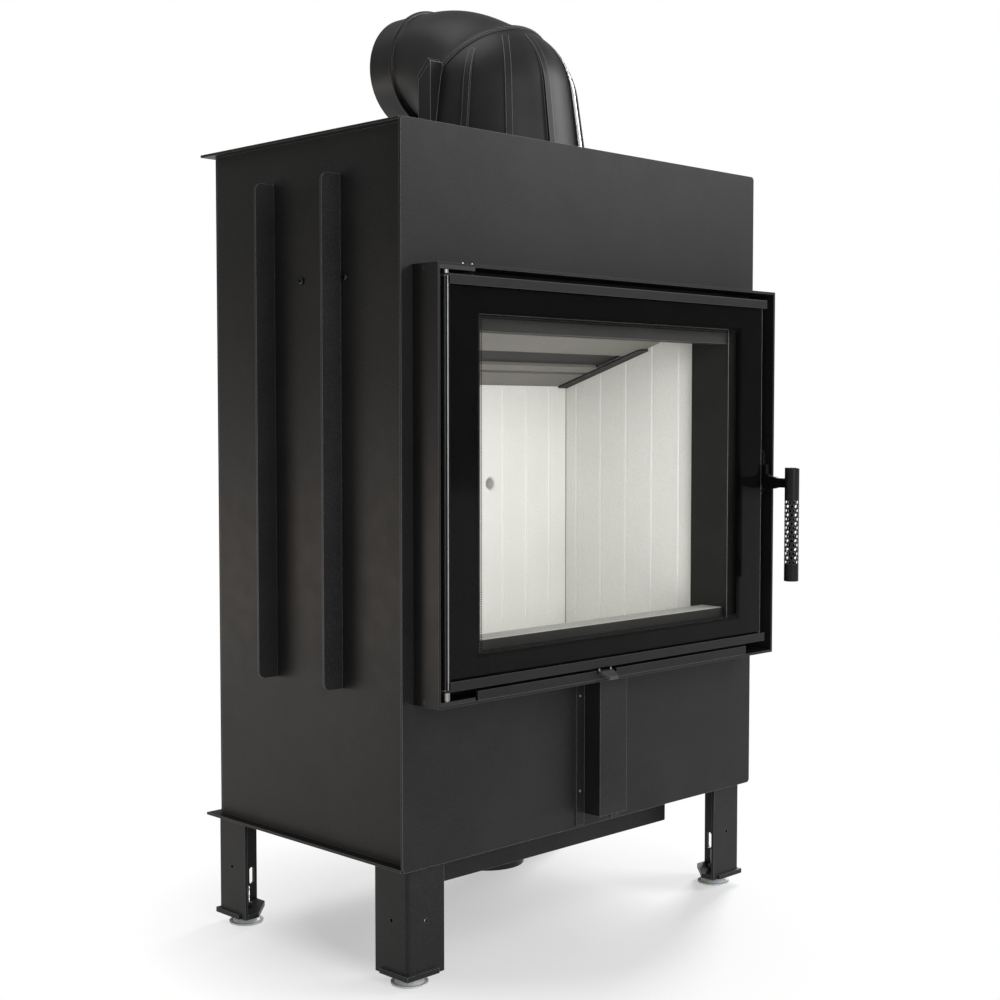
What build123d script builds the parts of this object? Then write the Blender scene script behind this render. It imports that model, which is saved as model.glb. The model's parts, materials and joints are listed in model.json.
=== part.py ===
"""Fireplace insert: a sheet-steel firebox on four levelling feet, with a glazed swing door, a pull-out
air lever and a cast flue hood whose elbow turns on a seat inclined at 45 degrees.

Millimetres, +Z up, the front toward -Y. The origin is on the floor under the middle of the outline.
Depths are counted backward from the front plate's outer face.
"""

import os
from math import asin, atan2, cos, degrees, radians, sin, sqrt

from build123d import *

os.makedirs("parts", exist_ok=True)

# ---------------------------------------------------------------------------
# Driving dimensions
# ---------------------------------------------------------------------------
# Casing
body_width = 630.0
body_height = 820.0
plate_depth = 372.0  # of the top and bottom plates, counted from the front plate's outer face
overhang = 13.0  # of the top and bottom plates past the side and back panels
sheet = 3.0
plate_corner = 5.0
fin_reach = 27.0
fin_length = 583.5
fin_rise = 188.5  # from the body's lower edge to the fins
fin_corner = 9.0
fin_depths = (119.0, 242.0)

# Legs and levelling feet
leg_height = 119.0
leg_width = 55.0
leg_sheet = 4.0
leg_inset = 7.0  # from the front plate's face, and from the rear edge of the bottom plate
leg_bend = 4.5
leg_hole = 5.0
leg_hole_drop = 62.0
toe_width = 10.0  # the free end of a leg's flange, which reaches down beside the foot plate
slot_width = 7.0
slot_length = 22.0
slot_drop = 88.0
foot_plate_sheet = 6.0
foot_plate_lip = 3.0
foot_plate_straight = 20.5  # from a leg's outer face to the start of the plate's cut corner
foot_inset = 24.0  # from a leg's outer faces to the stud
foot_height = 12.0
foot_radius = 21.5
foot_rim = 2.0
dome_base_radius = 17.0
dome_top_radius = 9.5
stud_radius = 4.0
stud_length = 33.3
thread_fit = 0.08
seat_gap = 0.3  # between pieces that move past each other

# Surround frame, door and hinge
door_offset = 5.0  # the surround frame and the door sit this far right of the casing's middle
frame_width = 607.5
frame_height = 479.6
frame_rise = 184.0  # from the body's lower edge to the frame
frame_depth = 41.0
door_width = 572.0
door_height = 452.0
door_rise = 16.5  # from the frame's lower edge to the door
glass_sheet = 4.0
glass_recess = 3.6  # of the glass behind the trims' faces
trim_lip = 11.0
trim_sheet = 2.5
clear_width = 483.0  # of the glass inside its dark border
clear_height = 381.5
clear_rise = 34.5  # from the door's lower edge to the clear glass
web_sheet = 2.0
wall_sheet = 2.5
stile_reach = 7.0  # of the door's hinge-side wall past the glass
door_wall_depth = 29.0  # from the front plate forward to the trims' faces, less the wall's setback
gasket_width = 11.0
gasket_margin = 1.5
hinge_radius = 3.0
hinge_fit = 0.08
hinge_inset = 15.75  # from the frame's outer left face to the hinge axis
hinge_setback = 5.5  # from the frame's front edge back to the hinge axis
hinge_bar_sheet = 4.0
hinge_bar_width = 27.0
hinge_bar_length = 53.75
hinge_tab = 3.0
hinge_tab_depth = 18.0
hinge_collar_radius = 3.7
bush_radius = 4.3

# Handle
grip_radius = 9.5
grip_wall = 1.0
grip_length = 149.4
grip_reach = 79.5  # from the front plate's face forward to the grip's axis
grip_rise = 99.0  # from the frame's lower edge to the grip
core_radius = 3.3
grip_plug = 5.0
lever_sheet = 5.6
lever_gap = 2.2  # between the door's free edge and the handle's lever
pivot_rise = 221.0  # from the frame's lower edge to the handle's pivot
pivot_setback = 27.0
pivot_radius = 4.0

# Air control
air_lever_x = -28.0
air_lever_width = 24.0
air_lever_sheet = 3.0
air_lever_reach = 54.5  # of the lever's tip in front of the front plate
air_lever_flat = 43.0  # of the lever's level part in front of the front plate
air_lever_rise = 9.8  # from the frame's lower edge to the lever
air_lever_dip = 6.0  # of the tip under the level part
air_lever_tip = 15.0
air_travel = 22.0
guide_width = 490.0  # of the strip under the door, in whose notch the lever runs
guide_height = 10.5
notch_left = -45.0
notch_right = -8.0
notch_depth = 4.1
air_slot_width = 100.0
air_slot_height = 12.0
damper_width = 124.0

# Duct cover under the door
cover_x = 2.5
cover_width = 49.0
cover_reach = 27.0
cover_sheet = 1.5
cover_flange = 14.0
cover_rise = 16.0
cover_flange_rise = 3.0

# Firebox: neck, shell, lining and baffle
firebox_width = 450.0
neck_reach = 28.0  # of the neck's flange in front of the front plate
neck_back = 32.0
neck_rise = 236.0  # from the body's lower edge to the neck's floor
neck_height = 376.0
lining_board = 30.0
lining_back_depth = 259.0
hearth_rise = 203.0
lining_side_height = 437.0
lining_back_height = 339.0
groove_pitch = 46.3
groove_offset = 5.0  # of the back wall's middle groove from the casing's middle
groove_width = 2.5
groove_depth = 2.0
groove_start = 15.0  # above the hearth
side_groove_margin = 19.8  # from the back wall to the first groove of a side wall
air_hole_radius = 8.0
air_hole_x = 75.0
air_hole_rise = 205.0  # above the hearth
air_hole_chamfer = 2.5
log_rest_height = 14.0
log_rest_front = 20.0
log_rest_back = 14.0
wash_bar_height = 18.5
wash_bar_sheet = 3.0
wash_bar_return = 27.0
baffle_slope = 17.86  # degrees, rising toward the front
baffle_board = 20.0
baffle_rear_length = 80.5
baffle_bar_length = 49.0
baffle_bar_recess = 4.0  # of the bar's underside above the boards'
baffle_front_length = 63.5
seam_width = 9.0
seam_depth = 8.0
seam_place = 50.0
rail_length = 159.0
rail_shelf = 18.0
rail_upstand = 25.0
rail_sheet = 3.0

# Air box and air inlet
air_box_width = 424.0
air_box_front = 59.0
air_box_back = 300.0
air_box_height = 44.0
air_box_corner = 8.0
inlet_radius = 50.0
inlet_wall = 2.0
inlet_depth = 193.0
inlet_height = 41.0
port_radius = 44.0

# Flue hood and elbow
hood_depth = 170.0  # of the hood's axis
hood_base_radius = 110.0
dome_radius = 99.0
dome_rise = 76.0  # of the dome's centre above the top plate
hood_wall = 7.0
flue_hole_radius = 95.0
split_angle = 45.0
split_offset = 30.5  # of the split plane from the dome's centre
rim_radius = 97.0
rim_sheet = 3.0
seat_radius = 88.0
lip_radius = 87.5
lip_length = 8.0
rib_first = -67.0  # degrees from the front, positive toward +X
rib_pitch = 29.5
rib_count = 5
rib_width = 8.0
rib_height = 4.5
rib_fade = 5.2  # drop of the ribs' outer arc, which lets them run out into the dome
rib_stop = 6.0  # degrees short of where the ribs would run out
rib_margin = 14.0  # from the ribs' ends to the split plane
ear_reach = 114.0  # of the ears' outer faces from the hood's axis
ear_front = 173.0
ear_back = 195.0
clip_sheet = 3.0
clip_length = 29.0
clip_grip = 1.7  # of a clip's finger over the elbow's rim
clip_fit = 0.4
bend_radius = 136.0
bend_lengths = 4  # straight lengths that the elbow's bend is mitred from
elbow_radius = 77.0
elbow_wall = 5.5
flare_radius = 94.0
flare_length = 30.0
collar_radius = 74.0
collar_length = 47.8
bead_radius = 77.7
bead_width = 6.3
bead_setback = 1.5

# ---------------------------------------------------------------------------
# Places worked out from the dimensions
# ---------------------------------------------------------------------------
front_y = -(plate_depth - grip_reach - grip_radius) / 2
base_z = foot_height + foot_plate_sheet + leg_height
top_z = base_z + body_height
body_half = body_width / 2
side_x = body_half - overhang
back_y = front_y + plate_depth - overhang

frame_low = base_z + frame_rise
frame_high = frame_low + frame_height
frame_half = frame_width / 2
frame_front = front_y - frame_depth
frame_left = door_offset - frame_half
frame_right = door_offset + frame_half

door_low = frame_low + door_rise
door_high = door_low + door_height
door_left = door_offset - door_width / 2
door_right = door_offset + door_width / 2
stile_left = door_left - stile_reach
glass_front = frame_front + glass_recess
web_front = glass_front + glass_sheet
web_back = web_front + web_sheet
door_back = front_y - frame_depth + door_wall_depth
hinge_x = frame_left + hinge_inset
hinge_y = frame_front + hinge_setback
clear_half = clear_width / 2
clear_low = door_low + clear_rise
clear_high = clear_low + clear_height
web_margin = 4.5  # between the clear glass and the web's inner edge
gasket_inner = web_margin + gasket_margin
gasket_outer = gasket_inner + gasket_width
gasket_sheet = front_y - neck_reach - seat_gap - web_back
neck_flange_margin = 3.0  # of the neck's flange round the gasket

firebox_half = firebox_width / 2
neck_low = base_z + neck_rise
neck_high = neck_low + neck_height
neck_front = front_y - neck_reach
shell_half = firebox_half + lining_board + sheet
hearth_z = base_z + hearth_rise
shell_low = hearth_z - lining_board - sheet
lining_y = front_y + lining_back_depth
shell_back = lining_y + lining_board + sheet

grip_y = front_y - grip_reach
grip_low = frame_low + grip_rise
lever_left = door_right + lever_gap
lever_x = lever_left + lever_sheet / 2
pivot_y = front_y - pivot_setback
pivot_z = frame_low + pivot_rise

air_lever_z = frame_low + air_lever_rise
cover_low = base_z + cover_rise
inlet_y = front_y + inlet_depth

hood_y = front_y + hood_depth
dome_z = top_z + dome_rise
split_sin = sin(radians(split_angle))
split_cos = cos(radians(split_angle))
mouth_y = hood_y + split_offset * split_sin
mouth_z = dome_z + split_offset * split_cos
split_plane = Plane(
    origin=(0, mouth_y, mouth_z), x_dir=(1, 0, 0), z_dir=(0, split_sin, split_cos)
)
hood_axis = Axis((0, hood_y, top_z), (0, 0, 1))
hood_section = Plane(origin=(0, hood_y, top_z), x_dir=(1, 0, 0), z_dir=(0, -1, 0))
baffle_plane = Plane(
    origin=(0, lining_y, hearth_z + lining_back_height),
    x_dir=(1, 0, 0),
    z_dir=(0, sin(radians(baffle_slope)), cos(radians(baffle_slope))),
)


# ---------------------------------------------------------------------------
# Helpers
# ---------------------------------------------------------------------------
def upright(y):
    """The vertical plane at this Y, drawn on in X and Z; extruding by a minus amount goes backward."""
    return Plane.XZ.offset(-y)


def level(z):
    """The horizontal plane at this height."""
    return Plane.XY.offset(z)


def span(left, right, low, high, mode=Mode.ADD):
    """A rectangle between two corners of the sketch that is open."""
    with Locations(((left + right) / 2, (low + high) / 2)):
        Rectangle(right - left, high - low, mode=mode)


def ring(half, low, high, border, centre=door_offset):
    """A rectangular ring, with its inner edge given and its border outside that."""
    span(centre - half - border, centre + half + border, low - border, high + border)
    span(centre - half, centre + half, low, high, mode=Mode.SUBTRACT)


def write(builder, name):
    """Labels a finished piece and writes it under its own name."""
    builder.part.label = name
    export_step(builder.part, f"parts/{name}.step")


sides = {"left": -1, "right": 1}
# ---------------------------------------------------------------------------
# Casing
# ---------------------------------------------------------------------------
port_half = 17.0
upper_port = (frame_low - 9.5, frame_low - 3.0)
lower_port = (cover_low + 6.0, cover_low + 24.0)

with BuildPart() as front_plate:
    with BuildSketch(upright(front_y)) as outline:
        span(-body_half, body_half, base_z, top_z)
        fillet(outline.vertices(), radius=plate_corner)
        half = firebox_half + sheet
        span(-half, half, neck_low - sheet, neck_high + sheet, mode=Mode.SUBTRACT)
        for low, high in (upper_port, lower_port):
            span(cover_x - port_half, cover_x + port_half, low, high, mode=Mode.SUBTRACT)
        span(
            air_lever_x - air_lever_width / 2 - 1,
            air_lever_x + air_lever_width / 2 + 1,
            air_lever_z - seat_gap,
            air_lever_z + air_lever_sheet + seat_gap,
            mode=Mode.SUBTRACT,
        )
    extrude(amount=-sheet)
write(front_plate, "front_plate")

with BuildPart() as top_plate:
    with BuildSketch(level(top_z - sheet)):
        span(-body_half, body_half, front_y + sheet, front_y + plate_depth)
        with Locations((0, hood_y)):
            Circle(flue_hole_radius, mode=Mode.SUBTRACT)
    extrude(amount=sheet)
write(top_plate, "top_plate")

with BuildPart() as bottom_plate:
    with BuildSketch(level(base_z)):
        span(-body_half, body_half, front_y + sheet, front_y + plate_depth)
        with Locations((0, inlet_y)):
            Circle(port_radius, mode=Mode.SUBTRACT)
    extrude(amount=sheet)
write(bottom_plate, "bottom_plate")

for name, side in sides.items():
    with BuildPart() as side_panel:
        with BuildSketch(Plane.YZ.offset(side * side_x)):
            span(front_y + sheet, back_y - sheet, base_z + sheet, top_z - sheet)
        extrude(amount=-side * sheet)
    write(side_panel, f"{name}_side_panel")

with BuildPart() as back_panel:
    with BuildSketch(upright(back_y - sheet)):
        span(-side_x, side_x, base_z + sheet, top_z - sheet)
    extrude(amount=-sheet)
write(back_panel, "back_panel")

with BuildPart() as side_fins:
    for side in sides.values():
        for depth in fin_depths:
            with BuildSketch(upright(front_y + depth - sheet / 2)) as fin:
                low = base_z + fin_rise
                root, tip = side * side_x, side * (side_x + fin_reach)
                span(min(root, tip), max(root, tip), low, low + fin_length)
                outer = fin.vertices().group_by(Axis.X)[-1 if side > 0 else 0]
                fillet(outer, radius=fin_corner)
            extrude(amount=-sheet)
write(side_fins, "side_fins")

# ---------------------------------------------------------------------------
# Firebox
# ---------------------------------------------------------------------------
with BuildPart() as firebox_shell:
    with BuildSketch(level(shell_low)):
        inner = shell_half - sheet
        span(-shell_half, shell_half, front_y + sheet, shell_back)
        span(-inner, inner, front_y + sheet, shell_back - sheet, mode=Mode.SUBTRACT)
    extrude(amount=top_z - sheet - shell_low)
    with BuildSketch(level(shell_low)):
        span(-inner, inner, front_y + sheet, shell_back - sheet)
    extrude(amount=sheet)
write(firebox_shell, "firebox_shell")

with BuildPart() as firebox_neck:
    with BuildSketch(upright(neck_front)):
        reach = gasket_outer + neck_flange_margin
        left, right = door_offset - clear_half - reach, door_offset + clear_half + reach
        span(left, right, clear_low - reach, clear_high + reach)
        span(-firebox_half, firebox_half, neck_low, neck_high, mode=Mode.SUBTRACT)
    extrude(amount=-sheet)
    with BuildSketch(upright(neck_front + sheet)):
        ring(firebox_half, neck_low, neck_high, sheet, centre=0)
    extrude(amount=-(neck_reach + neck_back - sheet))
    with BuildSketch(upright(front_y + neck_back - sheet)):
        span(-firebox_half, firebox_half, hearth_z, neck_low - sheet)
        with Locations((air_lever_x, (hearth_z + neck_low - sheet) / 2)):
            SlotOverall(air_slot_width, air_slot_height, mode=Mode.SUBTRACT)
    extrude(amount=-sheet)
write(firebox_neck, "firebox_neck")

with BuildPart() as lining_floor:
    with BuildSketch(level(hearth_z - lining_board)):
        half = shell_half - sheet
        span(-half, half, front_y + neck_back, shell_back - sheet)
    extrude(amount=lining_board)
write(lining_floor, "lining_floor")

with BuildPart() as lining_back:
    with BuildSketch(upright(lining_y)):
        half = firebox_half + lining_board
        low, high = hearth_z, hearth_z + lining_back_height
        span(-half, half, low, high)
    extrude(amount=-lining_board)
    with BuildSketch(upright(lining_y)):
        with Locations((groove_offset, (low + groove_start + high) / 2)):
            with GridLocations(groove_pitch, 0, 9, 1):
                Rectangle(groove_width, high - low - groove_start)
    extrude(amount=-groove_depth, mode=Mode.SUBTRACT)
    with BuildSketch(upright(lining_y)):
        with Locations((0, hearth_z + air_hole_rise)):
            with GridLocations(2 * air_hole_x, 0, 2, 1):
                Circle(air_hole_radius)
    extrude(amount=-lining_board, mode=Mode.SUBTRACT)
    mouths = lining_back.edges().filter_by(GeomType.CIRCLE).group_by(Axis.Y)[0]
    chamfer(mouths, length=air_hole_chamfer)
write(lining_back, "lining_back")

for name, side in sides.items():
    with BuildPart() as lining_side:
        with BuildSketch(Plane.YZ.offset(side * firebox_half)):
            low, high = hearth_z, hearth_z + lining_side_height
            span(front_y + neck_back, lining_y, low, high)
        extrude(amount=side * lining_board)
        first_groove = lining_y - side_groove_margin
        grooves = int((first_groove - front_y - neck_back) / groove_pitch) + 1
        with BuildSketch(Plane.YZ.offset(side * firebox_half)):
            for turn in range(grooves):
                middle = first_groove - turn * groove_pitch
                edge = groove_width / 2
                span(middle - edge, middle + edge, low + groove_start, high)
        extrude(amount=side * groove_depth, mode=Mode.SUBTRACT)
    write(lining_side, f"lining_{name}")

with BuildPart() as log_rest:
    with BuildSketch(Plane.YZ.offset(-firebox_half)):
        span(
            front_y - log_rest_front,
            front_y + log_rest_back,
            neck_low,
            neck_low + log_rest_height,
        )
    extrude(amount=firebox_width)
    chamfer(log_rest.edges().filter_by(Axis.X).group_by(Axis.Z)[-1], length=1.5)
write(log_rest, "log_rest")

with BuildPart() as air_wash_bar:
    with BuildSketch(Plane.YZ.offset(-firebox_half)):
        front = neck_front + sheet
        low = neck_high - wash_bar_height
        span(front, front + wash_bar_sheet, low, neck_high)
        span(front, front + wash_bar_return, low, low + wash_bar_sheet)
    extrude(amount=firebox_width)
write(air_wash_bar, "air_wash_bar")

with BuildPart() as baffle_rails:
    for side in sides.values():
        with BuildSketch(baffle_plane) as shelf:
            wall, edge = side * firebox_half, side * (firebox_half - rail_shelf)
            span(min(wall, edge), max(wall, edge), -rail_length, -1)
            front_end = shelf.vertices().group_by(Axis.Y)[0]
            fillet(front_end.sort_by(Axis.X)[0 if side > 0 else -1], radius=rail_shelf / 2)
        extrude(amount=-rail_sheet)
        with BuildSketch(baffle_plane):
            inner = side * (firebox_half - rail_sheet)
            span(min(wall, inner), max(wall, inner), -rail_length, -1)
        extrude(amount=rail_upstand)
write(baffle_rails, "baffle_rails")

baffle_half = firebox_half - rail_sheet - 1
with BuildPart() as baffle_rear_board:
    with BuildSketch(baffle_plane):
        span(-baffle_half, baffle_half, -baffle_rear_length, -seat_gap)
    extrude(amount=baffle_board)
    with BuildSketch(baffle_plane):
        span(-baffle_half, baffle_half, -seam_place - seam_width, -seam_place)
    extrude(amount=seam_depth, mode=Mode.SUBTRACT)
write(baffle_rear_board, "baffle_rear_board")

with BuildPart() as baffle_crossbar:
    bar_back = -baffle_rear_length
    bar_front = bar_back - baffle_bar_length
    foot = baffle_half - rail_shelf
    with BuildSketch(baffle_plane):
        span(-baffle_half, baffle_half, bar_front, bar_back)
    extrude(amount=baffle_board)
    with BuildSketch(baffle_plane):
        span(-foot, foot, bar_front, bar_back)
    extrude(amount=baffle_bar_recess, mode=Mode.SUBTRACT)
    with BuildSketch(baffle_plane.offset(baffle_bar_recess + rail_sheet)):
        span(-foot, foot, bar_front + rail_sheet, bar_back - rail_sheet)
    extrude(amount=baffle_board, mode=Mode.SUBTRACT)
write(baffle_crossbar, "baffle_crossbar")

with BuildPart() as baffle_front_board:
    with BuildSketch(baffle_plane):
        span(-baffle_half, baffle_half, bar_front - baffle_front_length, bar_front)
    extrude(amount=baffle_board)
write(baffle_front_board, "baffle_front_board")

# ---------------------------------------------------------------------------
# Surround frame and hinge
# ---------------------------------------------------------------------------
upper_bar_z = frame_high - sheet - hinge_bar_sheet
lower_bar_z = frame_low + sheet
tab_front = front_y - hinge_tab_depth - hinge_tab / 2

with BuildPart() as surround_frame:
    with BuildSketch(upright(frame_front)):
        ring(frame_half - sheet, frame_low + sheet, frame_high - sheet, sheet)
    extrude(amount=-frame_depth)
    with BuildSketch(Plane.YZ.offset(frame_left)):
        for low in (lower_bar_z, upper_bar_z):
            span(tab_front, tab_front + hinge_tab, low, low + hinge_bar_sheet)
    extrude(amount=sheet, mode=Mode.SUBTRACT)
write(surround_frame, "surround_frame")

with BuildPart() as hinge_bars:
    for low in (lower_bar_z, upper_bar_z):
        with BuildSketch(level(low)) as bar:
            left = frame_left + sheet
            right = left + hinge_bar_length
            span(left, right, frame_front, frame_front + hinge_bar_width)
            fillet(bar.vertices().group_by(Axis.X)[-1], radius=3)
            span(frame_left, left, tab_front, tab_front + hinge_tab)
            with Locations((hinge_x, hinge_y)):
                Circle(hinge_radius + hinge_fit, mode=Mode.SUBTRACT)
        extrude(amount=hinge_bar_sheet)
write(hinge_bars, "hinge_bars")

with BuildPart() as hinge_bush:
    with BuildSketch(level(lower_bar_z + hinge_bar_sheet)):
        with Locations((hinge_x, hinge_y)):
            Circle(bush_radius)
            Circle(hinge_radius + hinge_fit, mode=Mode.SUBTRACT)
    extrude(amount=door_low - seat_gap - lower_bar_z - hinge_bar_sheet)
write(hinge_bush, "hinge_bush")

catch_sheet = 3.0
catch_stud_radius = 4.5
catch_rise = 38.0  # of the catch's stud above the handle's pivot
catch_x = lever_left + lever_sheet + 2.2
with BuildPart() as latch_catch:
    with BuildSketch(Plane.YZ.offset(catch_x)) as bracket:
        span(front_y - 30, front_y, pivot_z + catch_rise - 13, pivot_z + catch_rise + 13)
        fillet(bracket.vertices().group_by(Axis.X)[0], radius=8)
    extrude(amount=catch_sheet)
    with BuildSketch(Plane.YZ.offset(catch_x)):
        with Locations((front_y - 20, pivot_z + catch_rise)):
            Circle(catch_stud_radius)
    extrude(amount=-(lever_sheet + 2))
write(latch_catch, "latch_catch")

# ---------------------------------------------------------------------------
# Door
# ---------------------------------------------------------------------------
with BuildPart() as door_frame:
    with BuildSketch(upright(web_front)):
        low, high = door_low + trim_sheet, door_high - trim_sheet
        span(stile_left, door_right, low, high)
        span(
            door_offset - clear_half - web_margin,
            door_offset + clear_half + web_margin,
            clear_low - web_margin,
            clear_high + web_margin,
            mode=Mode.SUBTRACT,
        )
    extrude(amount=-web_sheet)
    with BuildSketch(upright(frame_front + 1.6)):
        span(stile_left, stile_left + wall_sheet, low, high)
    extrude(amount=-(door_back - frame_front - 1.6))
    with BuildSketch(upright(web_front)):
        span(door_right - wall_sheet, door_right, low, high)
    extrude(amount=-(door_back - web_front))
    with BuildSketch(Plane.YZ.offset(door_right)):
        with Locations((pivot_y, pivot_z)):
            Circle(pivot_radius)
    extrude(amount=-wall_sheet, mode=Mode.SUBTRACT)
    nose = door_frame.edges().filter_by(Axis.Z).group_by(Axis.Y)[0]
    fillet(nose, radius=wall_sheet * 0.45)
write(door_frame, "door_frame")

for name, top in {"door_top_trim": True, "door_bottom_trim": False}.items():
    with BuildPart() as trim:
        web_z = door_high - trim_sheet if top else door_low
        lip_low = door_high - trim_lip if top else door_low
        with BuildSketch(level(web_z)) as web:
            span(stile_left - 2, door_right, frame_front, door_back)
            fillet(web.vertices().group_by(Axis.X)[0].sort_by(Axis.Y)[0], radius=8)
            with Locations((hinge_x, hinge_y)):
                Circle(hinge_radius, mode=Mode.SUBTRACT)
        extrude(amount=trim_sheet)
        with BuildSketch(upright(frame_front)):
            span(door_left, door_right, lip_low, lip_low + trim_lip)
        extrude(amount=-trim_sheet)
        fold = trim.edges().filter_by(Axis.X).group_by(Axis.Y)[0].sort_by(Axis.Z)
        fillet(fold[-1] if top else fold[0], radius=1.2)
    write(trim, name)

with BuildPart() as door_glass:
    with BuildSketch(upright(glass_front)):
        span(door_left, door_right, door_low + trim_sheet, door_high - trim_sheet - 0.5)
    extrude(amount=-glass_sheet)
    chamfer(door_glass.edges().group_by(Axis.Y)[0], length=0.5)
write(door_glass, "door_glass")

with BuildPart() as door_gasket:
    with BuildSketch(upright(web_back)):
        ring(
            clear_half + gasket_inner,
            clear_low - gasket_inner,
            clear_high + gasket_inner,
            gasket_width,
        )
    extrude(amount=-gasket_sheet)
write(door_gasket, "door_gasket")

with BuildPart() as hinge_pins:
    for low, high, collar_low, collar_high in (
        (door_high - trim_sheet, frame_high - sheet - seat_gap, door_high, upper_bar_z - seat_gap),
        (lower_bar_z + seat_gap, door_low + trim_sheet, None, None),
    ):
        with BuildSketch(level(low)):
            with Locations((hinge_x, hinge_y)):
                Circle(hinge_radius)
        extrude(amount=high - low)
        if collar_low is not None:
            with BuildSketch(level(collar_low)):
                with Locations((hinge_x, hinge_y)):
                    Circle(hinge_collar_radius)
            extrude(amount=collar_high - collar_low)
write(hinge_pins, "hinge_pins")

pivot_head_radius = 6.5
pivot_head_height = 1.9
with BuildPart() as handle_pivot:
    with BuildSketch(Plane.YZ.offset(door_right - wall_sheet)):
        with Locations((pivot_y, pivot_z)):
            Circle(pivot_radius)
    extrude(amount=wall_sheet + lever_gap + lever_sheet + 0.1)
    with BuildSketch(Plane.YZ.offset(lever_left + lever_sheet + 0.1)):
        with Locations((pivot_y, pivot_z)):
            Circle(pivot_head_radius)
    extrude(amount=pivot_head_height)
    with BuildSketch(Plane.YZ.offset(door_right)):
        with Locations((pivot_y, pivot_z)):
            Circle(pivot_head_radius)
    extrude(amount=lever_gap - 0.1)
write(handle_pivot, "handle_pivot")

# ---------------------------------------------------------------------------
# Handle
# ---------------------------------------------------------------------------
arm_low, arm_high = -1.0, 15.0  # of the arm's root, from the pivot's height
arm_tip_low, arm_tip_high = 0.8, 13.0
arm_root_y = front_y - 52.0
arm_step_y = front_y - 58.5
tail_front_y = front_y - 39.7
tail_back_y = front_y - 20.0
with BuildPart() as handle_lever:
    with BuildSketch(Plane.YZ.offset(lever_left)) as profile:
        with BuildLine():
            Polyline(
                (tail_front_y, pivot_z + 19),
                (tail_front_y, pivot_z + 30.5),
                (tail_back_y - 5, pivot_z + 30.5),
                (tail_back_y, pivot_z + 26),
                (tail_back_y, pivot_z - 6),
                (tail_back_y - 3, pivot_z - 8),
                (pivot_y - 4, pivot_z - 8),
                (pivot_y - 9, pivot_z + arm_low),
                (arm_root_y, pivot_z + arm_low),
                (arm_step_y, pivot_z + arm_tip_low),
                (grip_y, pivot_z + arm_tip_low),
                (grip_y, pivot_z + arm_tip_high),
                (arm_step_y, pivot_z + arm_tip_high),
                (arm_root_y, pivot_z + arm_high),
                (front_y - 44, pivot_z + arm_high),
            )
            RadiusArc((front_y - 44, pivot_z + arm_high), (tail_front_y, pivot_z + 19), 5)
        make_face()
        with Locations((pivot_y, pivot_z)):
            Circle(pivot_radius + hinge_fit, mode=Mode.SUBTRACT)
    extrude(amount=lever_sheet)
    with BuildSketch(level(grip_low)):
        with Locations((lever_x, grip_y)):
            Circle(grip_radius)
    extrude(amount=grip_length, mode=Mode.SUBTRACT)
write(handle_lever, "handle_lever")

with BuildPart() as handle_grip:
    with BuildSketch(level(grip_low)):
        with Locations((lever_x, grip_y)):
            Circle(grip_radius)
            Circle(grip_radius - grip_wall, mode=Mode.SUBTRACT)
    extrude(amount=grip_length)
write(handle_grip, "handle_grip")

with BuildPart() as grip_core:
    with BuildSketch(level(grip_low)):
        with Locations((lever_x, grip_y)):
            Circle(core_radius)
    extrude(amount=grip_length)
    for low in (grip_low, grip_low + grip_length - grip_plug):
        with BuildSketch(level(low)):
            with Locations((lever_x, grip_y)):
                Circle(grip_radius - grip_wall)
        extrude(amount=grip_plug)
write(grip_core, "grip_core")

# ---------------------------------------------------------------------------
# Air control
# ---------------------------------------------------------------------------
damper_back = front_y + neck_back - sheet - seat_gap
damper_sheet = 2.0
lip_drop = 3.0
with BuildPart() as air_lever:
    half, tip_half = air_lever_width / 2, air_lever_tip / 2
    back = damper_back - damper_sheet
    flat_y = front_y - air_lever_flat
    tip_y = front_y - air_lever_reach
    with BuildSketch(Plane.YZ.offset(air_lever_x - half)):
        with BuildLine():
            Polyline(
                (back, air_lever_z),
                (flat_y, air_lever_z),
                (tip_y, air_lever_z - air_lever_dip),
                (tip_y, air_lever_z - air_lever_dip + air_lever_sheet),
                (flat_y, air_lever_z + air_lever_sheet),
                (back, air_lever_z + air_lever_sheet),
                close=True,
            )
        make_face()
    extrude(amount=air_lever_width)
    with BuildSketch(level(air_lever_z - air_lever_dip)):
        for side in sides.values():
            with BuildLine():
                edge, corner = air_lever_x + side * half, air_lever_x + side * tip_half
                Polyline((corner, tip_y), (edge, tip_y), (edge, flat_y), close=True)
            make_face()
    extrude(amount=air_lever_dip + air_lever_sheet, mode=Mode.SUBTRACT)
write(air_lever, "air_lever")

with BuildPart() as air_damper:
    with BuildSketch(upright(damper_back - damper_sheet)) as flap:
        span(
            air_lever_x - damper_width / 2,
            air_lever_x + damper_width / 2,
            air_lever_z - lip_drop,
            neck_low - sheet - seat_gap,
        )
        fillet(flap.vertices(), radius=2)
    extrude(amount=-damper_sheet)
write(air_damper, "air_damper")

with BuildPart() as lever_guide:
    half = guide_width / 2
    low = frame_low + sheet
    high = low + guide_height
    with BuildSketch(upright(frame_front)):
        span(door_offset - half, door_offset + half, low, high)
        span(notch_left, notch_right, high - notch_depth, high, mode=Mode.SUBTRACT)
    extrude(amount=-sheet)
write(lever_guide, "lever_guide")

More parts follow.
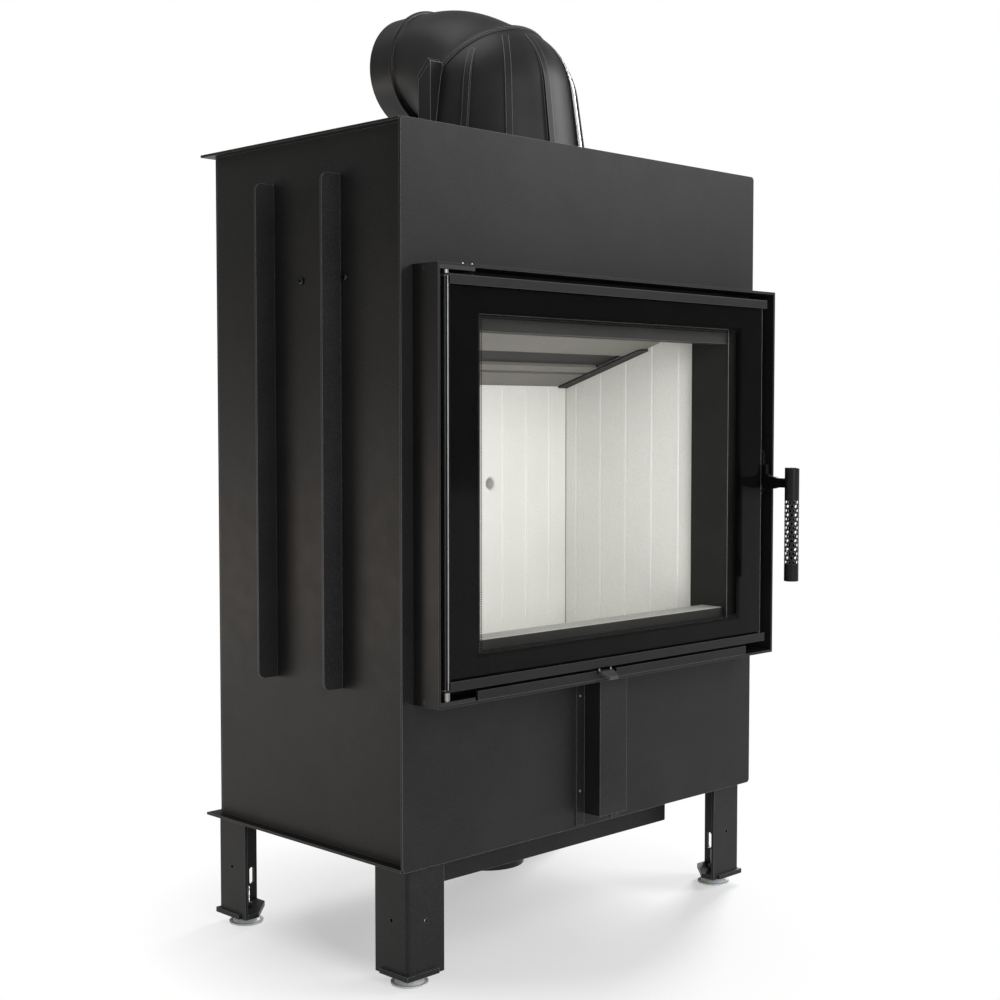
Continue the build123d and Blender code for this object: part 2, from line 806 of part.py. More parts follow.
# ---------------------------------------------------------------------------
# Duct cover under the door
# ---------------------------------------------------------------------------
cover_half = cover_width / 2
with BuildPart() as duct_cover:
    with BuildSketch(level(cover_low)):
        span(cover_x - cover_half, cover_x + cover_half, front_y - cover_reach, front_y)
        inner = cover_half - cover_sheet
        lip = front_y - cover_reach + cover_sheet
        span(cover_x - inner, cover_x + inner, lip, front_y, mode=Mode.SUBTRACT)
    extrude(amount=frame_low - cover_low)
    with BuildSketch(level(cover_low)):
        span(cover_x - inner, cover_x + inner, lip, front_y)
    extrude(amount=cover_sheet)
    with BuildSketch(upright(front_y - cover_sheet)) as flanges:
        for side in sides.values():
            root = cover_x + side * cover_half
            edge = root + side * cover_flange
            low = base_z + cover_flange_rise
            span(min(root, edge), max(root, edge), low, frame_low)
    extrude(amount=-cover_sheet)
write(duct_cover, "duct_cover")

# ---------------------------------------------------------------------------
# Air box and air inlet
# ---------------------------------------------------------------------------
with BuildPart() as air_box:
    with BuildSketch(level(base_z - air_box_height)) as outline:
        half = air_box_width / 2
        span(-half, half, front_y + air_box_front, front_y + air_box_back)
        fillet(outline.vertices(), radius=air_box_corner)
        with Locations((0, inlet_y)):
            Circle(inlet_radius - inlet_wall, mode=Mode.SUBTRACT)
    extrude(amount=sheet)
    with BuildSketch(level(base_z - air_box_height + sheet)) as walls:
        span(-half, half, front_y + air_box_front, front_y + air_box_back)
        fillet(walls.vertices(), radius=air_box_corner)
        offset(walls.face(), amount=-sheet, mode=Mode.SUBTRACT)
    extrude(amount=air_box_height - sheet)
write(air_box, "air_box")

with BuildPart() as air_inlet_spigot:
    with BuildSketch(level(base_z - air_box_height - inlet_height)):
        with Locations((0, inlet_y)):
            Circle(inlet_radius)
            Circle(inlet_radius - inlet_wall, mode=Mode.SUBTRACT)
    extrude(amount=inlet_height)
write(air_inlet_spigot, "air_inlet_spigot")

# ---------------------------------------------------------------------------
# Flue hood: a casting made of a cone that runs into a dome, with raised ribs and two ears
# ---------------------------------------------------------------------------


def hood_outline(skin, drop=0.0):
    """The hood's half profile, its surface moved out by skin and its dome lowered by drop."""
    radius = dome_radius + skin
    centre = dome_rise - drop
    foot = hood_base_radius + skin
    reach = sqrt(foot**2 + centre**2)
    lean = atan2(centre, -foot) - asin(radius / reach)
    length = sqrt(reach**2 - radius**2)
    tangent = (foot + length * cos(lean), length * sin(lean))
    start = degrees(atan2(tangent[1] - centre, tangent[0]))
    with BuildLine() as outline:
        Polyline((0, centre + radius), (0, 0), (foot, 0), tangent)
        CenterArc((0, centre), radius, start, 90 - start)
    make_face(outline.edges())


rib_low_skin = -3.0
fade_elevation = degrees(
    asin(
        ((dome_radius + rib_height) ** 2 - dome_radius**2 - rib_fade**2)
        / (2 * dome_radius * rib_fade)
    )
)


def rib_top(azimuth):
    """The height above the top plate at which a rib ends: short of the split plane, or run out."""
    forward = -cos(radians(azimuth)) * split_sin
    limit = (split_offset - rib_margin) / dome_radius
    reach = sqrt(forward**2 + split_cos**2)
    elevation = degrees(asin(limit / reach) - atan2(forward, split_cos))
    return dome_rise + dome_radius * sin(radians(min(elevation, fade_elevation - rib_stop)))


with BuildPart() as hood_ribs:
    with BuildSketch(hood_section):
        hood_outline(rib_height, rib_fade)
    revolve(axis=hood_axis)
    with BuildSketch(hood_section):
        hood_outline(rib_low_skin)
    revolve(axis=hood_axis, mode=Mode.SUBTRACT)
    for number in range(rib_count):
        azimuth = rib_first + number * rib_pitch
        outward = (sin(radians(azimuth)), -cos(radians(azimuth)), 0)
        tangent_dir = (cos(radians(azimuth)), sin(radians(azimuth)), 0)
        height = rib_top(azimuth)
        with BuildSketch(Plane(origin=(0, hood_y, top_z), x_dir=tangent_dir, z_dir=outward)):
            with BuildLine():
                half = rib_width / 2
                Polyline((-half, height - half), (-half, 0), (half, 0), (half, height - half))
                RadiusArc((-half, height - half), (half, height - half), half)
            make_face()
    extrude(amount=hood_base_radius + rib_height + 20, mode=Mode.INTERSECT)

bore_radius = dome_radius - hood_wall
bore_points = [
    (bore_radius * cos(radians(angle)), dome_rise + bore_radius * sin(radians(angle)))
    for angle in (0, 35, 65)
]
with BuildPart() as hood_bore:
    with BuildSketch(hood_section):
        with BuildLine():
            foot = (hood_base_radius - hood_wall, 0)
            Polyline((0, 0), foot, *bore_points, (0, bore_points[-1][1]), close=True)
        make_face()
    revolve(axis=hood_axis)
    split(bisect_by=split_plane.offset(-hood_wall), keep=Keep.BOTTOM)
    with BuildSketch(split_plane):
        Circle(seat_radius)
    extrude(amount=-2 * hood_wall)

with BuildPart() as flue_hood:
    with BuildSketch(hood_section):
        hood_outline(0.0)
    revolve(axis=hood_axis)
    with BuildSketch(level(top_z)):
        for side in sides.values():
            root, face = side * (seat_radius - 4), side * ear_reach
            span(min(root, face), max(root, face), front_y + ear_front, front_y + ear_back)
    extrude(amount=2 * dome_rise)
    split(bisect_by=split_plane, keep=Keep.BOTTOM)
    with BuildSketch(split_plane):
        Circle(rim_radius)
    extrude(amount=-rim_sheet)
    add(hood_ribs.part)
    add(hood_bore.part, mode=Mode.SUBTRACT)
write(flue_hood, "flue_hood")

ear_middle = ((ear_front + ear_back) / 2 - (mouth_y - front_y)) / split_cos
clip_bolt_x = (rim_radius + ear_reach) / 2 + 0.5
clip_bolt_radius = 2.5
with BuildPart() as elbow_clips:
    for side in sides.values():
        low, high = ear_middle - clip_length / 2, ear_middle + clip_length / 2
        near, far = side * (rim_radius + 1), side * (ear_reach - 1)
        finger = side * (rim_radius - clip_grip)
        with BuildSketch(split_plane):
            span(min(near, far), max(near, far), low, high)
            with Locations((side * clip_bolt_x, ear_middle)):
                Circle(clip_bolt_radius, mode=Mode.SUBTRACT)
        extrude(amount=rim_sheet + clip_fit + clip_sheet)
        with BuildSketch(split_plane.offset(rim_sheet + clip_fit)):
            span(min(finger, near), max(finger, near), low, high)
        extrude(amount=clip_sheet)
write(elbow_clips, "elbow_clips")

# ---------------------------------------------------------------------------
# Elbow and collar
# ---------------------------------------------------------------------------
bend_y = mouth_y + bend_radius * split_sin
bend_z = mouth_z - bend_radius * split_cos
collar_z = bend_z + bend_radius
collar_plane = Plane(origin=(0, bend_y, collar_z), x_dir=(1, 0, 0), z_dir=(0, 1, 0))


def across_bend(turn):
    """The plane across the elbow at this many degrees before the collar."""
    angle = radians(turn)
    place = (0, bend_y - bend_radius * sin(angle), bend_z + bend_radius * cos(angle))
    return Plane(origin=place, x_dir=(1, 0, 0), z_dir=(0, cos(angle), sin(angle)))


def bent_bar(radius):
    """A round bar along the bend, in mitred lengths from the split plane to the collar."""
    step = split_angle / (bend_lengths - 1)
    with BuildPart() as bar:
        for number in range(bend_lengths):
            turn = number * step
            with BuildPart(mode=Mode.PRIVATE) as length:
                with BuildSketch(across_bend(turn)):
                    Circle(radius)
                extrude(amount=bend_radius, both=True)
                split(bisect_by=across_bend(min(turn + step / 2, split_angle)), keep=Keep.TOP)
                split(bisect_by=across_bend(max(turn - step / 2, 0)), keep=Keep.BOTTOM)
            add(length.part)
    return bar.part


flare_section = Plane(
    origin=(0, mouth_y, mouth_z), x_dir=(1, 0, 0), z_dir=(0, -split_cos, split_sin)
)
flare_axis = Axis((0, mouth_y, mouth_z), (0, split_sin, split_cos))
with BuildPart() as elbow_bore:
    with BuildSketch(flare_section):
        with BuildLine():
            Polyline(
                (0, -lip_length),
                (lip_radius - elbow_wall, -lip_length),
                (lip_radius - elbow_wall, 0),
                (elbow_radius - elbow_wall, flare_length),
                (0, flare_length),
                close=True,
            )
        make_face()
    revolve(axis=flare_axis)
    add(bent_bar(elbow_radius - elbow_wall))
    with BuildSketch(collar_plane):
        Circle(elbow_radius - elbow_wall)
    extrude(amount=collar_length)

with BuildPart() as flue_elbow:
    with BuildSketch(flare_section):
        with BuildLine():
            Polyline(
                (0, -lip_length),
                (lip_radius, -lip_length),
                (lip_radius, 0),
                (rim_radius, 0),
                (rim_radius, rim_sheet),
                (flare_radius, rim_sheet),
                (elbow_radius, flare_length),
                (0, flare_length),
                close=True,
            )
        make_face()
    revolve(axis=flare_axis)
    add(bent_bar(elbow_radius))
    with BuildSketch(collar_plane):
        Circle(collar_radius)
    extrude(amount=collar_length)
    with BuildSketch(collar_plane.offset(bead_setback)):
        Circle(bead_radius)
    extrude(amount=bead_width)
    add(elbow_bore.part, mode=Mode.SUBTRACT)
write(flue_elbow, "flue_elbow")

# ---------------------------------------------------------------------------
# Legs, foot plates, nuts and levelling feet
# ---------------------------------------------------------------------------
leg_places = {
    "front_left": (-side_x, front_y + leg_inset, 1, 1),
    "front_right": (side_x, front_y + leg_inset, -1, 1),
    "back_left": (-side_x, front_y + plate_depth - leg_inset, 1, -1),
    "back_right": (side_x, front_y + plate_depth - leg_inset, -1, -1),
}
slotted_face = {"front_right": "side", "back_left": "end", "back_right": "end"}
plate_top = foot_height + foot_plate_sheet
foot_places = [(x + u * foot_inset, y + v * foot_inset) for x, y, u, v in leg_places.values()]


def corner_span(place, u_low, u_high, v_low, v_high, mode=Mode.ADD):
    """A rectangle measured inward from a leg's two outer faces."""
    x, y, u, v = place
    xs = sorted((x + u * u_low, x + u * u_high))
    ys = sorted((y + v * v_low, y + v * v_high))
    span(xs[0], xs[1], ys[0], ys[1], mode=mode)


for name, place in leg_places.items():
    x, y, u, v = place
    with BuildPart() as leg:
        with BuildSketch(level(plate_top)):
            corner_span(place, 0, leg_width, 0, leg_width)
            corner_span(place, leg_sheet, leg_width, leg_sheet, leg_width, mode=Mode.SUBTRACT)
        extrude(amount=leg_height)
        corner = leg.edges().filter_by(Axis.Z).sort_by_distance((x, y, plate_top))[0]
        fillet(corner, radius=leg_bend)
        with BuildSketch(level(foot_height)):
            corner_span(place, leg_width - toe_width, leg_width, 0, leg_sheet)
            corner_span(place, 0, leg_sheet, leg_width - toe_width, leg_width)
        extrude(amount=foot_plate_sheet)
        with BuildSketch(upright(y)):
            with Locations((x + u * leg_width / 2, base_z - leg_hole_drop)):
                Circle(leg_hole / 2)
            if slotted_face.get(name) == "end":
                with Locations((x + u * (leg_width - 8), base_z - slot_drop)):
                    SlotOverall(slot_length, slot_width, rotation=90)
        extrude(amount=-v * leg_sheet, mode=Mode.SUBTRACT)
        with BuildSketch(Plane.YZ.offset(x)):
            with Locations((y + v * leg_width / 2, base_z - leg_hole_drop)):
                Circle(leg_hole / 2)
            if slotted_face.get(name) == "side":
                with Locations((y + v * (leg_width - 8), base_z - slot_drop)):
                    SlotOverall(slot_length, slot_width, rotation=90)
        extrude(amount=u * leg_sheet, mode=Mode.SUBTRACT)
    write(leg, f"{name}_leg")

with BuildPart() as foot_plates:
    for x, y, u, v in leg_places.values():
        toe = leg_width - toe_width
        outline = (
            (-foot_plate_lip, -foot_plate_lip),
            (toe, -foot_plate_lip),
            (toe, leg_sheet),
            (leg_width, leg_sheet),
            (leg_width, foot_plate_straight),
            (foot_plate_straight, leg_width),
            (leg_sheet, leg_width),
            (leg_sheet, toe),
            (-foot_plate_lip, toe),
        )
        with BuildSketch(level(foot_height)):
            with BuildLine():
                Polyline(*[(x + u * a, y + v * b) for a, b in outline], close=True)
            make_face()
            with Locations((x + u * foot_inset, y + v * foot_inset)):
                Circle(stud_radius + thread_fit, mode=Mode.SUBTRACT)
        extrude(amount=foot_plate_sheet)
write(foot_plates, "foot_plates")

stud_low = foot_height - seat_gap
for name, place in zip(leg_places, foot_places):
    axis = Axis((*place, 0), (0, 0, 1))
    with BuildPart() as foot:
        with BuildSketch(Plane(origin=(*place, 0), x_dir=(1, 0, 0), z_dir=(0, -1, 0))):
            with BuildLine():
                Polyline(
                    (0, 0),
                    (foot_radius, 0),
                    (foot_radius, foot_rim),
                    (dome_base_radius, foot_rim),
                    (dome_top_radius, foot_height - seat_gap),
                    (0, foot_height - seat_gap),
                    close=True,
                )
            make_face()
        revolve(axis=axis)
    write(foot, f"{name}_foot")

    with BuildPart() as stud:
        with BuildSketch(level(stud_low)):
            with Locations(place):
                Circle(stud_radius)
        extrude(amount=stud_length)
    write(stud, f"{name}_stud")
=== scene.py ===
"""Looks for the fireplace insert: materials, small hardware, a smooth flue elbow and a perforated grip."""

import json
import math

import bmesh
import bpy
from mathutils import Matrix, Vector


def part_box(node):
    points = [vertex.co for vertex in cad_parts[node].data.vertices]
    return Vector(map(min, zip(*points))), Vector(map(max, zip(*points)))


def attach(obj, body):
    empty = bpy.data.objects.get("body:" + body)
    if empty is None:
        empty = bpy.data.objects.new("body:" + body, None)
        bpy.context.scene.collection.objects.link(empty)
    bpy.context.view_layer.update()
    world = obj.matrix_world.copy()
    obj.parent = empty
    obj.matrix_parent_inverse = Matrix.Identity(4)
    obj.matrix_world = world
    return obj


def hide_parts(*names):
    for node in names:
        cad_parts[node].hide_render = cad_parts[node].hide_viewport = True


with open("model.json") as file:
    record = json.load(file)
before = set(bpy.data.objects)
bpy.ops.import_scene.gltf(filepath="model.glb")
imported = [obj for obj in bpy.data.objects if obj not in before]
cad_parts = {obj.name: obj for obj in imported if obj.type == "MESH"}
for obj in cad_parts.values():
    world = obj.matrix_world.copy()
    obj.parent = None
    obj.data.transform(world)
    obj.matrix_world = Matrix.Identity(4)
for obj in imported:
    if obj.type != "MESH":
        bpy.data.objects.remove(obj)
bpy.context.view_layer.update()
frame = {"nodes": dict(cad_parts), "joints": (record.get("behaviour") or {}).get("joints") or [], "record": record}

MM = 0.001
nodes = frame["nodes"]
record = frame["record"]
joints = {joint["name"]: joint for joint in frame["joints"]}
mounts = {mount["name"]: mount for mount in record["mounts"]}
X, Y, Z = Vector((1, 0, 0)), Vector((0, 1, 0)), Vector((0, 0, 1))

# ---------------------------------------------------------------------------
# Places read from the frame
# ---------------------------------------------------------------------------
front_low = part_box("front_plate")[0]
front_y = front_low.y
base_z = front_low.z
left_side_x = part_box("left_side_panel")[0].x
right_side_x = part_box("right_side_panel")[1].x
frame_low, frame_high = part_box("surround_frame")
glass_low, glass_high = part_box("door_glass")
door_x = (glass_low.x + glass_high.x) / 2
grip_low, grip_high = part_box("handle_grip")
cover_low, cover_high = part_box("duct_cover")


# ---------------------------------------------------------------------------
# Materials
# ---------------------------------------------------------------------------
class Finish:
    """A node material under construction: its tree, its shader and its texture coordinates."""

    # Places of the Mix node's colours among its sockets, which carry the same names for each data type.
    first_colour, second_colour, mixed_colour = 6, 7, 2

    def __init__(self, name):
        self.material = bpy.data.materials.new(name)
        self.material.use_nodes = True
        self.tree = self.material.node_tree
        self.shader = self.tree.nodes["Principled BSDF"]
        self.place = self.add("ShaderNodeTexCoord").outputs["Object"]
        self.normal = None

    def add(self, kind, **settings):
        node = self.tree.nodes.new(kind)
        for key, value in settings.items():
            if key in node.inputs:
                node.inputs[key].default_value = value
            else:
                setattr(node, key, value)
        return node

    def link(self, source, target):
        self.tree.links.new(source, target)

    def noise(self, size, detail=3.0, roughness=0.5, stretch=None):
        """Noise whose blobs measure about size metres, drawn out along one axis where stretch says."""
        node = self.add("ShaderNodeTexNoise", Detail=detail, Roughness=roughness, Scale=1 / size)
        place = self.place
        if stretch:
            mapping = self.add("ShaderNodeMapping")
            mapping.inputs["Scale"].default_value = stretch
            self.link(place, mapping.inputs["Vector"])
            place = mapping.outputs["Vector"]
        self.link(place, node.inputs["Vector"])
        return node.outputs["Fac"]

    def ramp(self, source, low, high, start=0.0, end=1.0):
        """Source spread over the range from start to end, and turned into a colour or a value."""
        node = self.add("ShaderNodeMapRange")
        node.inputs["From Min"].default_value = start
        node.inputs["From Max"].default_value = end
        node.inputs["To Min"].default_value = low
        node.inputs["To Max"].default_value = high
        self.link(source, node.inputs["Value"])
        return node.outputs["Result"]

    def blend(self, share, first, second):
        """A colour between two colours, or between two sockets, by a share."""
        node = self.add("ShaderNodeMix", data_type="RGBA")
        self.link(share, node.inputs["Factor"])
        for value, place in ((first, self.first_colour), (second, self.second_colour)):
            socket = node.inputs[place]
            if isinstance(value, (tuple, list)):
                socket.default_value = (*value, 1)
            else:
                self.link(value, socket)
        return node.outputs[self.mixed_colour]

    def edges(self, width):
        """A share that rises to one along the edges of a mesh, over about this width."""
        rounded = self.add("ShaderNodeBevel", samples=6, Radius=width)
        geometry = self.add("ShaderNodeNewGeometry")
        facing = self.add("ShaderNodeVectorMath", operation="DOT_PRODUCT")
        self.link(rounded.outputs["Normal"], facing.inputs[0])
        self.link(geometry.outputs["Normal"], facing.inputs[1])
        return self.ramp(facing.outputs["Value"], 0, 1, start=0.985, end=0.85)

    def bump(self, height, depth, strength=1.0):
        node = self.add("ShaderNodeBump", Strength=strength, Distance=depth)
        self.link(height, node.inputs["Height"])
        if self.normal:
            self.link(self.normal, node.inputs["Normal"])
        self.normal = node.outputs["Normal"]
        self.link(self.normal, self.shader.inputs["Normal"])

    def colour(self, value):
        if isinstance(value, (tuple, list)):
            self.shader.inputs["Base Color"].default_value = (*value, 1)
        else:
            self.link(value, self.shader.inputs["Base Color"])

    def set(self, **values):
        for key, value in values.items():
            self.shader.inputs[key.replace("_", " ")].default_value = value


def stove_paint(
    name, shade, roughness=0.42, specular=0.17, highlight_tone=0.22, edge_width=0.7 * MM, depth=0.07 * MM
):
    """Satin black stove paint: a fine speckle, faint clouds of tone, a soft sheen and painted highlights along its
    edges.
    """
    finish = Finish(name)
    clouds = finish.ramp(finish.noise(90 * MM, detail=4), 0, 1, start=0.35, end=0.65)
    ground = finish.blend(clouds, (shade * 0.85,) * 3, (shade * 1.15,) * 3)
    grain = finish.noise(1.3 * MM, detail=2)
    speckle = finish.ramp(grain, 0, 0.5, start=0.50, end=0.75)
    speckled = finish.blend(speckle, ground, (shade * 2.8,) * 3)
    # Painted highlight: the colour turns paler along the mesh's edges.
    finish.colour(finish.blend(finish.edges(edge_width), speckled, (highlight_tone,) * 3))
    sheen = finish.ramp(finish.noise(25 * MM, detail=5), roughness - 0.05, roughness + 0.06)
    finish.link(sheen, finish.shader.inputs["Roughness"])
    finish.set(Specular_IOR_Level=specular)
    finish.bump(grain, depth, 0.6)
    return finish.material


def cast_iron(name, shade, highlight_tone=0.30):
    """Painted casting: pebbled skin over a slightly wavy surface, with painted highlights along its edges."""
    finish = Finish(name)
    clouds = finish.ramp(finish.noise(60 * MM, detail=5), 0, 1, start=0.35, end=0.65)
    skin = finish.blend(clouds, (shade * 0.8,) * 3, (shade * 1.2,) * 3)
    # Painted highlight: paler along the casting's edges, on its ribs, ears and rims.
    finish.colour(finish.blend(finish.edges(1.2 * MM), skin, (highlight_tone,) * 3))
    finish.set(Roughness=0.42, Specular_IOR_Level=0.3)
    finish.bump(finish.noise(30 * MM, detail=2), 0.4 * MM, 0.35)
    finish.bump(finish.noise(1.6 * MM, detail=3), 0.12 * MM, 0.8)
    return finish.material


def board(name, light, dark, flecks, highlight_tone):
    """Pressed mineral board: fine flecks, pits, soft stains, and a painted highlight that makes it paler in its
    grooves and along its edges.
    """
    finish = Finish(name)
    stains = finish.ramp(finish.noise(120 * MM, detail=5), 0, 1, start=0.3, end=0.7)
    base = finish.blend(stains, light, dark)
    fleck = finish.ramp(finish.noise(2.4 * MM, detail=4, roughness=0.7), 0, 1, start=0.52, end=0.66)
    flecked = finish.blend(fleck, base, flecks)
    # Painted highlight: the colour turns paler where the board's surface is sunk in.
    cavity = finish.add("ShaderNodeAmbientOcclusion", samples=6, only_local=True, Distance=5 * MM)
    groove_highlight = finish.ramp(cavity.outputs["AO"], 0, 1, start=0.95, end=0.6)
    finish.colour(finish.blend(groove_highlight, flecked, highlight_tone))
    finish.set(Roughness=0.85)
    finish.bump(finish.noise(1.5 * MM, detail=4, roughness=0.7), 0.2 * MM, 0.7)
    return finish.material


def steel(name, shade, roughness, brushed=None):
    """Bare or plated steel, with brush marks along one axis where brushed gives the stretch."""
    finish = Finish(name)
    marks = finish.noise(2 * MM, detail=4, stretch=brushed or (1, 1, 1))
    tone = finish.ramp(marks, 0, 1, start=0.3, end=0.7)
    finish.colour(finish.blend(tone, (shade * 0.85,) * 3, (shade * 1.1,) * 3))
    spread = finish.ramp(marks, roughness - 0.07, roughness + 0.07)
    finish.link(spread, finish.shader.inputs["Roughness"])
    finish.set(Metallic=1.0)
    finish.bump(marks, 0.02 * MM, 0.5)
    return finish.material


def threaded_steel(name, shade, pitch):
    """A stud's thread, as a rolled wave along its length, with painted shade darkening its troughs."""
    finish = Finish(name)
    wave_radians = 20  # what Blender's wave texture runs through in a metre at scale 1
    scale = 2 * math.pi / (wave_radians * pitch)
    wave = finish.add("ShaderNodeTexWave", bands_direction="Z", wave_profile="SIN", Scale=scale)
    finish.link(finish.place, wave.inputs["Vector"])
    # Painted shade: the thread's troughs are darker.
    finish.colour(finish.blend(wave.outputs["Fac"], (shade * 0.5,) * 3, (shade,) * 3))
    finish.set(Metallic=1.0, Roughness=0.35)
    finish.bump(wave.outputs["Fac"], 0.5 * MM, 1.0)
    return finish.material


def milky_plastic(name):
    """Translucent moulded plastic of the levelling feet."""
    finish = Finish(name)
    haze = finish.ramp(finish.noise(12 * MM, detail=3), 0, 1, start=0.3, end=0.7)
    finish.colour(finish.blend(haze, (0.74, 0.75, 0.76), (0.82, 0.83, 0.84)))
    finish.set(Roughness=0.35, Subsurface_Weight=0.4, Subsurface_Scale=0.006)
    finish.bump(finish.noise(0.8 * MM), 0.03 * MM, 0.4)
    return finish.material


def braid(name):
    """Flattened glass-fibre sealing cord."""
    finish = Finish(name)
    wave = finish.add("ShaderNodeTexWave", bands_direction="DIAGONAL", Distortion=1.5, Scale=120)
    finish.link(finish.place, wave.inputs["Vector"])
    finish.colour(finish.blend(wave.outputs["Fac"], (0.012,) * 3, (0.05,) * 3))
    finish.set(Roughness=0.9)
    finish.bump(wave.outputs["Fac"], 0.5 * MM, 0.8)
    return finish.material


def clear_glass(name):
    """Coated ceramic glass: clear and faintly warm, mirroring more and more at a grazing angle."""
    finish = Finish(name)
    tree = finish.tree
    clear = finish.add("ShaderNodeBsdfTransparent", Color=(0.97, 0.97, 0.96, 1))
    gloss = finish.add("ShaderNodeBsdfGlossy", Roughness=0.02)
    fresnel = finish.add("ShaderNodeFresnel", IOR=1.5)
    back = finish.add("ShaderNodeNewGeometry")
    front = finish.add("ShaderNodeMath", operation="SUBTRACT")
    front.inputs[0].default_value = 1.0
    finish.link(back.outputs["Backfacing"], front.inputs[1])
    share = finish.add("ShaderNodeMath", operation="MULTIPLY")
    finish.link(finish.ramp(fresnel.outputs["Fac"], 0, 0.9, start=0.07, end=0.8), share.inputs[0])
    finish.link(front.outputs[0], share.inputs[1])
    ripple = finish.add("ShaderNodeBump", Strength=0.05, Distance=0.05 * MM)
    finish.link(finish.noise(60 * MM, detail=1), ripple.inputs["Height"])
    finish.link(ripple.outputs["Normal"], gloss.inputs["Normal"])
    mix = finish.add("ShaderNodeMixShader")
    finish.link(share.outputs[0], mix.inputs["Fac"])
    finish.link(clear.outputs["BSDF"], mix.inputs[1])
    finish.link(gloss.outputs["BSDF"], mix.inputs[2])
    finish.link(mix.outputs["Shader"], tree.nodes["Material Output"].inputs["Surface"])
    tree.nodes.remove(finish.shader)
    return finish.material


def enamel(name):
    """Black ceramic print fired on the glass, seen through its surface."""
    finish = Finish(name)
    clouds = finish.ramp(finish.noise(40 * MM, detail=4), 0, 1, start=0.3, end=0.7)
    finish.colour(finish.blend(clouds, (0.0029,) * 3, (0.0041,) * 3))
    finish.set(Roughness=0.07, Specular_IOR_Level=0.08)
    return finish.material


# The highlight tones below are painted highlights along each finish's edges, widest and brightest on the door and
# on the neck's flange.
paint = stove_paint("casing_paint", 0.014)
frame_paint = stove_paint("frame_paint", 0.010, roughness=0.38, highlight_tone=0.10)
door_paint = stove_paint("door_paint", 0.010, roughness=0.38, highlight_tone=0.40, edge_width=1.3 * MM)
leg_paint = stove_paint("leg_paint", 0.015)
neck_paint = stove_paint("neck_paint", 0.028, roughness=0.6, highlight_tone=0.30)
# A blacker copy of the neck paint for the flange's front faces: painted shade, with a wide painted highlight on
# their edges.
shaded_flange_black = stove_paint(
    "shaded_flange_black", 0.004, roughness=0.6, specular=0.08, highlight_tone=0.35, edge_width=1.8 * MM
)
lever_paint = stove_paint("lever_paint", 0.045, roughness=0.45)
# The fins get a lighter copy of the casing paint: painted light on faces the lamps leave dark.
lit_fin_paint = stove_paint("lit_fin_paint", 0.024)
hood_iron = cast_iron("hood_iron", 0.020)
lining_board = board(
    "lining_board", (0.79, 0.785, 0.765), (0.75, 0.745, 0.72), (0.69, 0.68, 0.65), (0.97, 0.97, 0.96)
)
# The baffle boards are the lining's board, darkened: painted shade on their downward faces.
shaded_baffle_board = board(
    "shaded_baffle_board", (0.19, 0.185, 0.17), (0.17, 0.165, 0.15), (0.15, 0.145, 0.13), (0.22, 0.21, 0.20)
)
# The log rest's board is beige, and darker than the lining partly as painted shade.
ledge_board = board(
    "ledge_board", (0.62, 0.61, 0.58), (0.56, 0.55, 0.52), (0.48, 0.47, 0.44), (0.66, 0.65, 0.62)
)
plated = steel("plated_steel", 0.30, 0.35, brushed=(1, 1, 0.1))
dark_steel = steel("dark_steel", 0.045, 0.4)
bolt_steel = steel("bolt_steel", 0.30, 0.35)
bright_steel = steel("bright_steel", 0.75, 0.3)
stud_steel = threaded_steel("stud_steel", 0.5, 1.25 * MM)
foot_plastic = milky_plastic("foot_plastic")
gasket_cord = braid("gasket_cord")
door_glass = clear_glass("door_glass_clear")
glass_print = enamel("glass_print")
grip_paint = stove_paint("grip_paint", 0.010, roughness=0.32, depth=0.02 * MM)
core_black = stove_paint("core_black", 0.003, roughness=0.6, specular=0.05, highlight_tone=0.02)

finishes = {
    paint: "front_plate top_plate bottom_plate left_side_panel right_side_panel back_panel"
    " duct_cover air_box air_inlet_spigot foot_plates firebox_shell",
    lit_fin_paint: "side_fins",
    leg_paint: "front_left_leg front_right_leg back_left_leg back_right_leg",
    frame_paint: "surround_frame door_top_trim door_bottom_trim lever_guide latch_catch",
    door_paint: "door_frame",
    neck_paint: "firebox_neck air_wash_bar baffle_crossbar baffle_rails air_damper",
    lining_board: "lining_back lining_left lining_right lining_floor",
    shaded_baffle_board: "baffle_rear_board baffle_front_board",
    ledge_board: "log_rest",
    hood_iron: "flue_hood flue_elbow elbow_clips",
    door_glass: "door_glass",
    gasket_cord: "door_gasket",
    plated: "hinge_pins hinge_bush handle_pivot",
    core_black: "grip_core handle_lever",
    stud_steel: "front_left_stud front_right_stud back_left_stud back_right_stud",
    dark_steel: "hinge_bars",
    grip_paint: "handle_grip",
    lever_paint: "air_lever",
    foot_plastic: "front_left_foot front_right_foot back_left_foot back_right_foot",
}


def dress(obj, material, edge):
    """Gives a mesh its material, smooth shading up to sharp edges and a small rounded edge."""
    obj.data.materials.clear()
    obj.data.materials.append(material)
    obj.data.shade_smooth()
    obj.data.set_sharp_from_angle(angle=math.radians(30))
    if edge:
        bevel = obj.modifiers.new("edges", "BEVEL")
        bevel.width = edge
        bevel.segments = 2
        bevel.limit_method = "ANGLE"
        bevel.angle_limit = math.radians(35)
    weighted = obj.modifiers.new("normals", "WEIGHTED_NORMAL")
    weighted.keep_sharp = True


sheet_edge = 0.35 * MM
edge_radius = {
    "side_fins": 0.5 * MM,
    "front_plate": 0.5 * MM,
    "door_glass": 0.0,
    "flue_hood": 0.0,
    "flue_elbow": 0.0,
    "elbow_clips": 0.0,
    "handle_grip": 0.0,
}
for material, names in finishes.items():
    for name in names.split():
        dress(nodes[name], material, edge_radius.get(name, sheet_edge))

